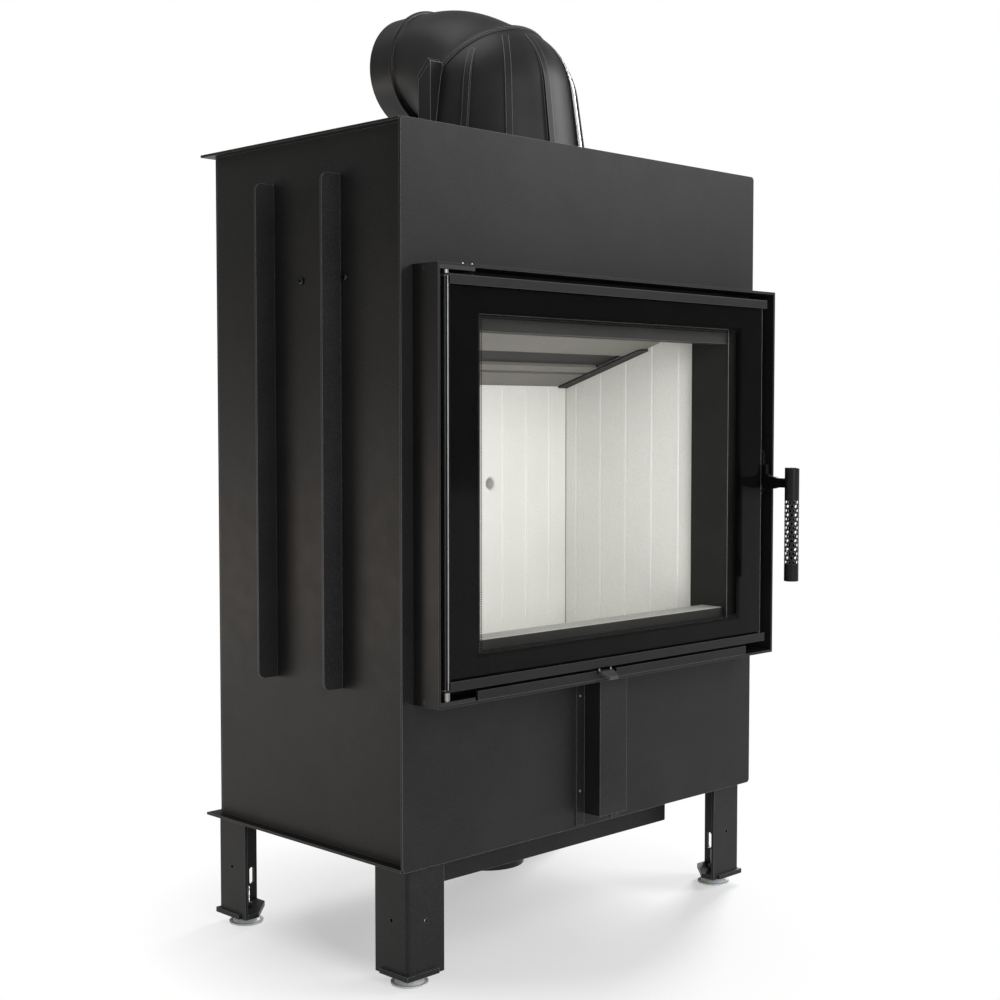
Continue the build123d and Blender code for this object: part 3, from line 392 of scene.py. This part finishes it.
# The faces of the neck's flange, which look to the front, get a blacker copy of the neck paint: painted shade,
# with a wide painted highlight along their edges.
neck_mesh = nodes["firebox_neck"].data
neck_mesh.materials.append(shaded_flange_black)
for polygon in neck_mesh.polygons:
    if polygon.normal.y < -0.9:
        polygon.material_index = 1


# ---------------------------------------------------------------------------
# Mesh helpers
# ---------------------------------------------------------------------------
def new_piece(name, mesh_builder, material, body, edge=0.0):
    """Makes a piece from a bmesh, and lets it ride on a CAD body."""
    bmesh.ops.remove_doubles(mesh_builder, verts=mesh_builder.verts, dist=1e-7)
    bmesh.ops.recalc_face_normals(mesh_builder, faces=mesh_builder.faces)
    mesh = bpy.data.meshes.new(name)
    mesh_builder.to_mesh(mesh)
    mesh_builder.free()
    obj = bpy.data.objects.new(name, mesh)
    bpy.context.scene.collection.objects.link(obj)
    dress(obj, material, edge)
    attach(obj, body)
    return obj


def rings_to_faces(mesh_builder, rings, closed=False):
    """Joins rings of equally many vertices with quads."""
    pairs = list(zip(rings, rings[1:]))
    if closed:
        pairs.append((rings[-1], rings[0]))
    count = len(rings[0])
    for first, second in pairs:
        for i in range(count):
            j = (i + 1) % count
            mesh_builder.faces.new((first[i], first[j], second[j], second[i]))


def cap_rings(mesh_builder, rings):
    """Joins rings with quads and closes both ends."""
    rings_to_faces(mesh_builder, rings)
    mesh_builder.faces.new(rings[0][::-1])
    mesh_builder.faces.new(rings[-1])


def axes_across(direction):
    """Two unit vectors that stand square to a direction and to each other."""
    helper = Z if abs(direction.z) < 0.9 else X
    across = direction.cross(helper).normalized()
    return across, direction.cross(across).normalized()


def hexagon_share(angle):
    """How far the edge of a hexagon lies from its middle at an angle, where its corners lie at one."""
    return math.cos(math.pi / 6) / math.cos((angle % (math.pi / 3)) - math.pi / 6)


def add_ring(mesh_builder, centre, axes, radius, sides, hexagonal=False):
    """Adds a round or hexagonal ring of vertices in the plane of two axes."""
    across, up = axes
    ring = []
    for i in range(sides):
        angle = 2 * math.pi * i / sides
        reach = radius * hexagon_share(angle) if hexagonal else radius
        offset = across * math.cos(angle) + up * math.sin(angle)
        ring.append(mesh_builder.verts.new(centre + offset * reach))
    return ring


def add_turned(mesh_builder, place, direction, profile, sides=32):
    """Adds a turned form: profile holds (distance along direction, radius) pairs from end to end."""
    axes = axes_across(direction)
    rings = []
    for along, radius in profile:
        rings.append(add_ring(mesh_builder, place + direction * along, axes, radius, sides))
    cap_rings(mesh_builder, rings)


def add_block(mesh_builder, low, high):
    """Adds a box from its lowest to its highest corner."""
    size = high - low
    place = Matrix.Translation((low + high) / 2) @ Matrix.Diagonal((*size, 1))
    bmesh.ops.create_cube(mesh_builder, size=1, matrix=place)


hexagon_sides = 36


def add_socket_screw(mesh_builder, place, direction, radius, height):
    """Adds a domed screw head with a hexagonal socket sunk into it."""
    dome = ((0, 1.0), (0.35, 1.0), (0.7, 0.93), (0.92, 0.78), (1.0, 0.6))
    socket, socket_floor = 0.42, 0.35
    outline = [(along, share, False) for along, share in dome]
    outline += [(1.0, socket, True), (socket_floor, socket, True)]
    axes = axes_across(direction)
    rings = []
    for along, share, hexagonal in outline:
        centre = place + direction * height * along
        rings.append(add_ring(mesh_builder, centre, axes, radius * share, hexagon_sides, hexagonal))
    cap_rings(mesh_builder, rings)


def add_nut(mesh_builder, place, flats, height, bore):
    """Adds a hexagon nut with rounded corners on top, standing on its place."""
    corner = flats / 2 / math.cos(math.pi / 6)
    outline = [(0, corner, True), (0.85, corner, True), (1.0, corner * 0.86, False)]
    outline += [(1.0, bore, False), (0.0, bore, False)]
    rings = []
    for along, radius, hexagonal in outline:
        centre = place + Z * height * along
        rings.append(add_ring(mesh_builder, centre, (X, Y), radius, hexagon_sides, hexagonal))
    rings_to_faces(mesh_builder, rings, closed=True)


# ---------------------------------------------------------------------------
# Small hardware
# ---------------------------------------------------------------------------
def screws(name, places, direction, radius, height, material, body="body"):
    """Makes one piece of several like screws."""
    mesh_builder = bmesh.new()
    for place in places:
        add_socket_screw(mesh_builder, place, direction, radius, height)
    return new_piece(name, mesh_builder, material, body)


cover_screw_inset = 6.5 * MM
cover_screw_rises = (45 * MM, 161.6 * MM)
cover_flange_y = front_y - 1.5 * MM
cover_screw_places = [
    Vector((x, cover_flange_y, base_z + rise))
    for x in (cover_low.x + cover_screw_inset, cover_high.x - cover_screw_inset)
    for rise in cover_screw_rises
]
screws("cover_screws", cover_screw_places, -Y, radius=2.0 * MM, height=1.4 * MM, material=bolt_steel)

side_screw_z = base_z + 656 * MM
side_screw_depths = (110 * MM, 189 * MM)
for name, x, direction in (("left", left_side_x, -X), ("right", right_side_x, X)):
    places = [Vector((x, front_y + depth, side_screw_z)) for depth in side_screw_depths]
    screws(f"{name}_side_screws", places, direction, radius=4.5 * MM, height=2.8 * MM, material=dark_steel)

hinge = Vector(joints["door_hinge"]["pos_m"])
hinge_screw_y = hinge.y + 15.5 * MM
upper_screw_offsets = (40 * MM, 54 * MM)
upper_places = [Vector((hinge.x + offset, hinge_screw_y, frame_high.z)) for offset in upper_screw_offsets]
screws("upper_hinge_screws", upper_places, Z, radius=1.1 * MM, height=4.0 * MM, material=bright_steel)

single_screw_x = hinge.x + 45 * MM
lower_place = Vector((single_screw_x, hinge_screw_y, frame_low.z + 3 * MM))
screws("lower_hinge_screw", [lower_place], Z, radius=2.6 * MM, height=2.0 * MM, material=bright_steel)

door_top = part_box("door_frame")[1].z
door_place = Vector((single_screw_x, hinge.y + 6 * MM, door_top))
screws(
    "door_top_screw", [door_place], Z, radius=2.6 * MM, height=4.0 * MM, material=bright_steel, body="door"
)

turn = joints["elbow_turn"]
mouth = Vector(turn["pos_m"])
inclined = Vector(turn["axis"]).normalized()
clip_low, clip_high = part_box("elbow_clips")
clip_middle = (clip_low + clip_high) / 2
down_slope = X.cross(inclined)
clip_along = (clip_middle - mouth).dot(down_slope)
clip_top = 6.4 * MM
clip_screw_x = clip_high.x - 7 * MM
clip_face = mouth + down_slope * clip_along + inclined * clip_top
clip_places = [clip_face + X * side * clip_screw_x for side in (-1, 1)]
screws("clip_screws", clip_places, inclined, radius=4.6 * MM, height=3.2 * MM, material=dark_steel)

nut_flats, nut_height, nut_bore = 13 * MM, 6.5 * MM, 4.05 * MM
nuts = bmesh.new()
pad_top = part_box("foot_plates")[1].z
for corner in ("front_left", "front_right", "back_left", "back_right"):
    low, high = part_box(f"{corner}_stud")
    centre = (low + high) / 2
    add_nut(nuts, Vector((centre.x, centre.y, pad_top)), nut_flats, nut_height, nut_bore)
new_piece("foot_nuts", nuts, dark_steel, "body", edge=0.2 * MM)


# ---------------------------------------------------------------------------
# Flue elbow: rings swept round the bend
# ---------------------------------------------------------------------------
collar = mounts["flue_collar"]
collar_z = collar["pos_m"][2]
collar_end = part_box("flue_elbow")[1].y
bend_angle = math.pi / 4
rim_height = 3.2 * MM
bend_start = mouth + inclined * rim_height
bend_radius = (collar_z - bend_start.z) / (1 - math.cos(bend_angle))
bend_centre = Vector((0, bend_start.y + bend_radius * math.sin(bend_angle), collar_z - bend_radius))
bend_end = rim_height + bend_radius * bend_angle
collar_length = collar_end - bend_centre.y


def on_bend(along):
    """The middle of the elbow's bore at a distance from its mouth, and the two axes across it."""
    if along < rim_height:
        return mouth + inclined * along, (X, inclined.cross(X))
    if along > bend_end:
        return Vector((0, bend_centre.y + along - bend_end, collar_z)), (X, Y.cross(X))
    angle = bend_angle - (along - rim_height) / bend_radius
    outward = Vector((0, -math.sin(angle), math.cos(angle)))
    heading = Vector((0, math.cos(angle), math.sin(angle)))
    return bend_centre + outward * bend_radius, (X, heading.cross(X))


def elbow_profile():
    """(along, radius) pairs of the casting's skin: its lip, the rim, the outside, the bead, back inside."""
    corner, wall = 0.5, 4.0
    lip, lip_depth = 87.5, 8.0
    rim, rim_sheet, rim_top, seat_slope = 97.0, 3.0, rim_height / MM, 0.1
    points = [(-lip_depth, lip - wall - corner), (-lip_depth, lip - corner), (corner - lip_depth, lip)]
    points += [(0, lip), (seat_slope, rim - corner), (corner, rim), (rim_sheet - corner, rim)]
    end, taper, flare, flare_fade = 73.0, 10.5, 10.0, 8.0
    fillet_rise, fillet_spread = 0.4, 0.3
    points += [(rim_sheet, rim - corner), (rim_top, end + taper + flare + fillet_spread)]
    length = bend_end / MM
    start = rim_top + fillet_rise
    skin_steps, bead_steps = 32, 12
    skin = []
    for i in range(skin_steps + 1):
        share = i / skin_steps
        radius = end + taper * (1 - share) ** 1.5 + flare * math.exp(-flare_fade * share)
        skin.append((start + (length - start) * share, radius))
    points += skin
    outside, bore, bore_start = collar["dims"]["r_mm"], 70.5, length + 2
    bead, bead_half, bead_rise, bead_foot = length + 7.8, 3.4, 3.8, 0.6
    for i in range(bead_steps + 1):
        angle = math.pi * i / bead_steps
        swell = math.sin(angle) ** 0.5
        points.append((bead - bead_half * math.cos(angle), outside + bead_rise * swell))
    total, bevel = length + collar_length / MM, 0.6
    points += [(bead + bead_half + bead_foot, outside), (total - bevel, outside), (total, outside - corner)]
    points += [(total, bore + corner), (total - corner, bore), (bore_start, bore)]
    points += [(along, radius - wall) for along, radius in reversed(skin)]
    points += [(corner - lip_depth, lip - wall - 2 * corner)]
    return [(along * MM, radius * MM) for along, radius in points]


elbow = bmesh.new()
elbow_sides = 128
rings = []
for along, radius in elbow_profile():
    centre, axes = on_bend(along)
    rings.append(add_ring(elbow, centre, axes, radius, elbow_sides))
rings_to_faces(elbow, rings, closed=True)
elbow_casting = new_piece("elbow_casting", elbow, hood_iron, "elbow")
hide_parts("flue_elbow")


# ---------------------------------------------------------------------------
# Perforated grip tube
# ---------------------------------------------------------------------------
grip_centre = (grip_low + grip_high) / 2
grip_radius = (grip_high.x - grip_low.x) / 2
grip_wall = 1.0 * MM
hole_radius = 2.25 * MM
hole_columns = 10
hole_rows = 15
hole_pitch = 5.65 * MM
hole_start = grip_low.z + 25.2 * MM
hole_sides = 16
cell_width = 2 * math.pi * grip_radius / hole_columns
walls = (grip_radius, grip_radius - grip_wall)


def cell_edge(step):
    """A point on the edge of a unit square about the origin, step counting the places round it."""
    side, place = divmod(step, hole_sides // 4)
    reach = -0.5 + place / 4
    return [(0.5, reach), (-reach, 0.5), (-0.5, -reach), (reach, -0.5)][side]


def rolled(across, z, radius):
    """The point of the tube at an arc length round it and a height."""
    angle = across / grip_radius - math.pi / 2
    return Vector((grip_centre.x + radius * math.cos(angle), grip_centre.y + radius * math.sin(angle), z))


grip = bmesh.new()


def hole_loop(middle, z, radius, share):
    """Adds a ring of vertices about a hole: its rim where share is zero, its cell's edge where it is one."""
    loop = []
    for step in range(hole_sides):
        u, v = cell_edge(step)
        u, v = u * cell_width, v * hole_pitch
        length = math.hypot(u, v)
        hole_u, hole_v = u / length * hole_radius, v / length * hole_radius
        across = middle + hole_u + (u - hole_u) * share
        height = z + hole_v + (v - hole_v) * share
        loop.append(grip.verts.new(rolled(across, height, radius)))
    return loop


hole_centres = [
    ((column + (row % 2) / 2) * cell_width, hole_start + row * hole_pitch)
    for row in range(hole_rows)
    for column in range(hole_columns)
]
for radius in walls:
    for middle, z in hole_centres:
        rings_to_faces(grip, [hole_loop(middle, z, radius, share) for share in (1.0, 0.0)])
for middle, z in hole_centres:
    rings_to_faces(grip, [hole_loop(middle, z, radius, 0.0) for radius in walls])
field_low = hole_start - hole_pitch / 2
field_high = hole_start + (hole_rows - 0.5) * hole_pitch
round_edge, round_middle = 0.7 * MM, 0.3
for start, end in ((grip_low.z, field_low), (grip_high.z, field_high)):
    toward = 1 if end > start else -1
    bands = [
        (end, grip_radius),
        (start + toward * round_edge, grip_radius),
        (start + toward * round_edge * round_middle, grip_radius - round_edge * round_middle),
        (start, grip_radius - round_edge),
        (start, grip_radius - grip_wall),
        (end, grip_radius - grip_wall),
    ]
    step_width = cell_width / 4
    loops = []
    for z, radius in bands:
        spots = [rolled(i * step_width - cell_width / 2, z, radius) for i in range(hole_columns * 4)]
        loops.append([grip.verts.new(spot) for spot in spots])
    rings_to_faces(grip, loops)
grip_tube = new_piece("grip_tube", grip, grip_paint, "handle")
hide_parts("handle_grip")


# The liner closes the grip behind its perforations.
liner = bmesh.new()
liner_radius = 4.0 * MM
liner_foot = Vector((grip_centre.x, grip_centre.y, field_low))
add_turned(liner, liner_foot, Z, [(0, liner_radius), (field_high - field_low, liner_radius)])
new_piece("grip_liner", liner, core_black, "handle")

# ---------------------------------------------------------------------------
# Dark steel edge of the log rest, which also stands in for the shade on its front, joints in the firebox's rear
# corners, and pins on the air lever
# ---------------------------------------------------------------------------
rest_low, rest_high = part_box("log_rest")
ledge_sheet, ledge_drop = 1.0 * MM, 0.6 * MM
# The log rest's front sheet is dark steel, and also painted shade on its front face.
ledge = bmesh.new()
add_block(
    ledge,
    Vector((rest_low.x, rest_low.y - ledge_sheet, rest_low.z)),
    Vector((rest_high.x, rest_low.y, rest_high.z - ledge_drop)),
)
new_piece("ledge_front", ledge, neck_paint, "body", edge=0.3 * MM)

back_low, back_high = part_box("lining_back")
hearth_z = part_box("lining_floor")[1].z
seam_width, seam_rise = 1.0 * MM, 0.3 * MM
seams = bmesh.new()
for left in (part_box("lining_left")[1].x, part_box("lining_right")[0].x - seam_width):
    add_block(
        seams,
        Vector((left, back_low.y - seam_rise, hearth_z)),
        Vector((left + seam_width, back_low.y, back_high.z)),
    )
new_piece("lining_seams", seams, shaded_baffle_board, "body")

lever_low, lever_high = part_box("air_lever")
pin_inset, pin_reach = 1.8 * MM, 39.5 * MM
pin_profile = [(0, 1.3 * MM), (3.0 * MM, 1.3 * MM)]
pins = bmesh.new()
for x in (lever_low.x + pin_inset, lever_high.x - pin_inset):
    add_turned(pins, Vector((x, front_y - pin_reach, lever_high.z)), Z, pin_profile)
new_piece("lever_pins", pins, plated, "air_control")

# ---------------------------------------------------------------------------
# Print on the back of the glass: a black border and a band of dots inside it
# ---------------------------------------------------------------------------
clear_half = 241.5 * MM
clear_height = 381 * MM
border_rise = 32.8 * MM
border_shift = 2.6 * MM
clear_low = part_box("door_bottom_trim")[0].z + border_rise
clear_high = clear_low + clear_height
clear_left = door_x - clear_half + border_shift
clear_right = door_x + clear_half
print_y = glass_high.y - 0.12 * MM
inset = 0.6 * MM

border = bmesh.new()
border_edges = (
    (glass_low.x + inset, glass_high.x - inset, glass_low.z + inset, glass_high.z - inset),
    (clear_left, clear_right, clear_low, clear_high),
)
corners = []
for left, right, low, high in border_edges:
    spots = ((left, low), (right, low), (right, high), (left, high))
    corners.append([border.verts.new((x, print_y, z)) for x, z in spots])
rings_to_faces(border, corners)
new_piece("glass_border", border, glass_print, "door")

dot_pitch = 2.6 * MM
dot_radii = (1.22 * MM, 1.15 * MM, 1.0 * MM)
dot_sides = 8
dots = bmesh.new()


def add_dot(x, z, radius):
    """Adds a flat dot of the print."""
    dots.faces.new(add_ring(dots, Vector((x, print_y, z)), (X, Z), radius, dot_sides))


for row, radius in enumerate(dot_radii):
    distance = (row + 0.5) * dot_pitch
    left, right = clear_left + distance, clear_right - distance
    low, high = clear_low + distance, clear_high - distance
    across = int((right - left) / dot_pitch)
    upward = int((high - low) / dot_pitch)
    for i in range(across + 1):
        x = left + (right - left) * i / across
        add_dot(x, low, radius)
        add_dot(x, high, radius)
    for i in range(1, upward):
        z = low + (high - low) * i / upward
        add_dot(left, z, radius)
        add_dot(right, z, radius)
new_piece("glass_dots", dots, glass_print, "door")

# ---------------------------------------------------------------------------
# Bright rod along the door's hinge side, and a black strip between it and the print, painted shade of the gap
# there
# ---------------------------------------------------------------------------
rod_radius = 1.1 * MM
rod_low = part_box("door_frame")[0].z
rod_foot = Vector((hinge.x + 0.4 * MM, glass_low.y - 1.0 * MM, rod_low))
rod = bmesh.new()
add_turned(rod, rod_foot, Z, [(0, rod_radius), (door_top - rod_low, rod_radius)], sides=20)
new_piece("hinge_rod", rod, plated, "door")

# Painted shade: a black strip where the gap beside the glass lies in shade.
shade_strip_width, shade_strip_sheet = 4.0 * MM, 0.4 * MM
shade_strip = bmesh.new()
add_block(
    shade_strip,
    Vector((rod_foot.x, glass_low.y - shade_strip_sheet, glass_low.z + inset)),
    Vector((rod_foot.x + shade_strip_width, glass_low.y, glass_high.z - inset)),
)
new_piece("glass_side_shade_strip", shade_strip, core_black, "door")

# ---------------------------------------------------------------------------
# Floor, light and camera
# ---------------------------------------------------------------------------
floor_builder = bmesh.new()
bmesh.ops.create_circle(floor_builder, cap_ends=True, radius=12.0, segments=96)
floor_mesh = bpy.data.meshes.new("floor")
floor_builder.to_mesh(floor_mesh)
floor_builder.free()
floor = bpy.data.objects.new("floor", floor_mesh)
bpy.context.scene.collection.objects.link(floor)


def pale_floor():
    """White floor that keeps the object's shadow near it and fades into the white backdrop further out."""
    finish = Finish("pale_floor")
    tree = finish.tree
    finish.set(Roughness=0.8)
    finish.colour((0.82, 0.82, 0.82))
    length = finish.add("ShaderNodeVectorMath", operation="LENGTH")
    finish.link(finish.place, length.inputs[0])
    shadow_end, white_start = 0.26, 0.48
    far = finish.ramp(length.outputs["Value"], 0.45, 1, start=shadow_end, end=white_start)
    path = finish.add("ShaderNodeLightPath")
    seen = path.outputs["Is Camera Ray"]
    for ray in ("Is Glossy Ray", "Is Transmission Ray"):
        either = finish.add("ShaderNodeMath", operation="MAXIMUM")
        finish.link(seen, either.inputs[0])
        finish.link(path.outputs[ray], either.inputs[1])
        seen = either.outputs[0]
    share = finish.add("ShaderNodeMath", operation="MULTIPLY")
    finish.link(far, share.inputs[0])
    finish.link(seen, share.inputs[1])
    glow = finish.add("ShaderNodeEmission", Color=(1, 1, 1, 1))
    mix = finish.add("ShaderNodeMixShader")
    finish.link(share.outputs[0], mix.inputs["Fac"])
    finish.link(finish.shader.outputs["BSDF"], mix.inputs[1])
    finish.link(glow.outputs["Emission"], mix.inputs[2])
    finish.link(mix.outputs["Shader"], tree.nodes["Material Output"].inputs["Surface"])
    finish.material.cycles.emission_sampling = "NONE"
    return finish.material


floor.data.materials.append(pale_floor())

# The world lights the object softly, and shows the camera a white backdrop.
scene = bpy.context.scene
ambient_strength, backdrop_strength = 0.28, 1.0
world = bpy.data.worlds.new("studio")
scene.world = world
world.use_nodes = True
tree = world.node_tree
tree.nodes.clear()
output = tree.nodes.new("ShaderNodeOutputWorld")
ambient = tree.nodes.new("ShaderNodeBackground")
ambient.inputs["Color"].default_value = (1, 1, 1, 1)
ambient.inputs["Strength"].default_value = ambient_strength
backdrop = tree.nodes.new("ShaderNodeBackground")
backdrop.inputs["Color"].default_value = (1, 1, 1, 1)
backdrop.inputs["Strength"].default_value = backdrop_strength
light_path = tree.nodes.new("ShaderNodeLightPath")
mix = tree.nodes.new("ShaderNodeMixShader")
tree.links.new(light_path.outputs["Is Camera Ray"], mix.inputs["Fac"])
tree.links.new(ambient.outputs["Background"], mix.inputs[1])
tree.links.new(backdrop.outputs["Background"], mix.inputs[2])
tree.links.new(mix.outputs["Shader"], output.inputs["Surface"])


white = (1.0, 1.0, 1.0)
warm = (1.0, 0.85, 0.73)


def softbox(name, place, target, width, height, tint, power):
    """Adds a rectangular lamp that looks at a target."""
    light = bpy.data.lights.new(name, "AREA")
    light.shape = "RECTANGLE"
    light.size = width
    light.size_y = height
    light.energy = power
    light.color = tint
    obj = bpy.data.objects.new(name, light)
    scene.collection.objects.link(obj)
    obj.location = place
    obj.rotation_euler = (Vector(target) - Vector(place)).to_track_quat("-Z", "Y").to_euler()
    return obj


middle = Vector((0, 0, 0.6))
softbox("key", (2.5, -2.1, 2.3), (0.1, -0.1, 0.9), 1.8, 1.6, white, 72)
softbox("front_fill", (-0.9, -3.2, 1.3), middle, 1.6, 1.6, white, 42)
softbox("side_low", (-2.3, 2.1, 0.13), (-0.3, 0.1, 0.25), 1.5, 0.4, warm, 13)
softbox("rim", (2.6, 0.9, 1.5), (0, 0, 1.0), 0.7, 1.2, white, 90)
softbox("top", (-0.6, 0.6, 3.2), middle, 1.6, 1.6, white, 16)

neck_low, neck_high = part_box("firebox_neck")
mouth_middle = Vector((0, neck_high.y + 1 * MM, (neck_low.z + neck_high.z) / 2))
hearth_light = softbox("hearth_light", mouth_middle, mouth_middle + Y, 0.42, 0.32, white, 0.455)
hearth_light.visible_camera = False
hearth_light.visible_glossy = False

camera_pitch = 2.98
camera_yaw = 44.82
camera_data = bpy.data.cameras.new("camera")
camera_data.lens = 57.54
camera_data.sensor_width = 36.0
camera_data.clip_start = 0.01
camera_data.clip_end = 100.0
camera = bpy.data.objects.new("camera", camera_data)
scene.collection.objects.link(camera)
camera.location = Vector((-1453.4, -1437.7, 636.0)) * MM
camera.rotation_euler = (math.radians(90 - camera_pitch), 0, -math.radians(camera_yaw))
scene.camera = camera

scene.view_settings.view_transform = "Standard"
